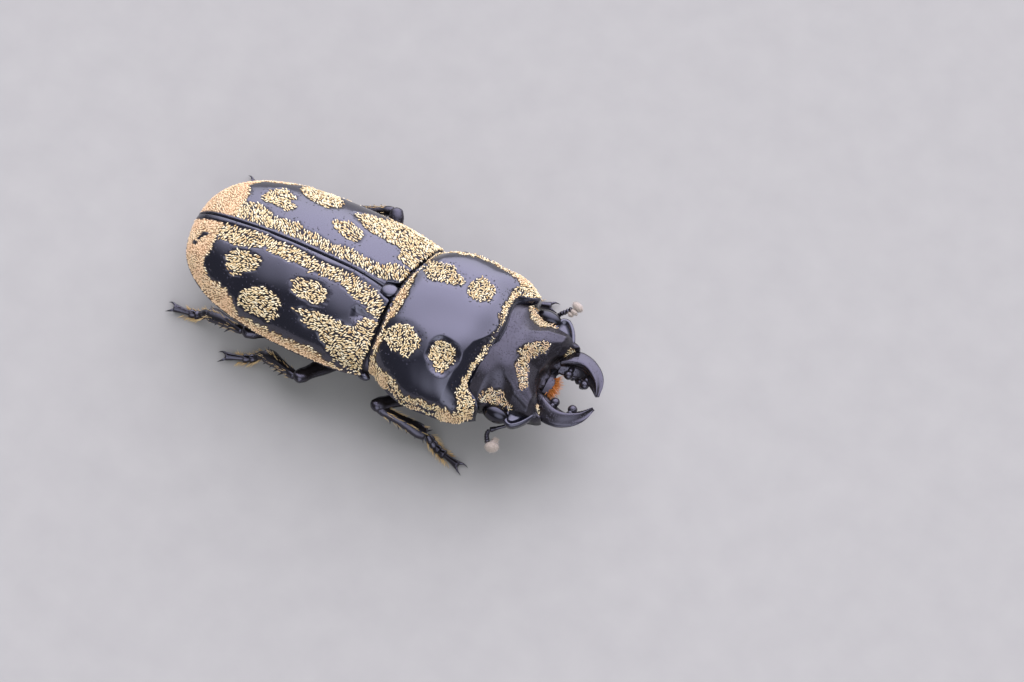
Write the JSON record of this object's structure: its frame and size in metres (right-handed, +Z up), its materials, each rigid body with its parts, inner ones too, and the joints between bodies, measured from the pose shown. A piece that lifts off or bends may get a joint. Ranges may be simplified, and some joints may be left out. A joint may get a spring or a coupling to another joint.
{
  "type": "stag beetle",
  "caption": "Life-size still stag beetle with toothed jaws, a broad shield, domed wing cases with sunken scaly spots, elbowed feelers and spread legs, standing on flat soles.",
  "frame": {"origin": "on the floor, under the middle of the box that holds the beetle", "axes": "+X from the tail towards the head, +Y to the beetle's left, +Z up from the floor"},
  "size_m": [0.0186, 0.009, 0.005],
  "materials": {
    "polished_cuticle": "polished black chitin with a faint blue-grey sheen",
    "satin_cuticle": "satin black chitin, finely punctate",
    "eye_lens": "glossy black",
    "amber_bristle": "amber bristles",
    "pubescent_club": "fine greyish down",
    "golden_scale": "straw-gold scales, satin"
  },
  "bodies": {
    "root": {"elytron_left": "polished_cuticle", "elytron_right": "polished_cuticle", "scutellum": "polished_cuticle", "pronotum": "polished_cuticle", "prosternum": "satin_cuticle", "thorax": "satin_cuticle", "abdomen": "satin_cuticle", "head": "satin_cuticle", "eye_left": "eye_lens", "eye_right": "eye_lens", "mandible_left": "polished_cuticle", "mandible_right": "polished_cuticle", "labrum": "amber_bristle", "palp_left": "satin_cuticle", "palp_right": "satin_cuticle", "antenna_left": "pubescent_club", "antenna_right": "pubescent_club", "femur_front_left": "polished_cuticle", "tibia_front_left": "polished_cuticle", "tarsus_front_left": "satin_cuticle", "femur_front_right": "polished_cuticle", "tibia_front_right": "polished_cuticle", "tarsus_front_right": "satin_cuticle", "femur_middle_left": "polished_cuticle", "tibia_middle_left": "polished_cuticle", "tarsus_middle_left": "satin_cuticle", "femur_middle_right": "polished_cuticle", "tibia_middle_right": "polished_cuticle", "tarsus_middle_right": "satin_cuticle", "femur_hind_left": "polished_cuticle", "tibia_hind_left": "polished_cuticle", "tarsus_hind_left": "satin_cuticle", "femur_hind_right": "polished_cuticle", "tibia_hind_right": "polished_cuticle", "tarsus_hind_right": "satin_cuticle"}
  },
  "joints": []
}
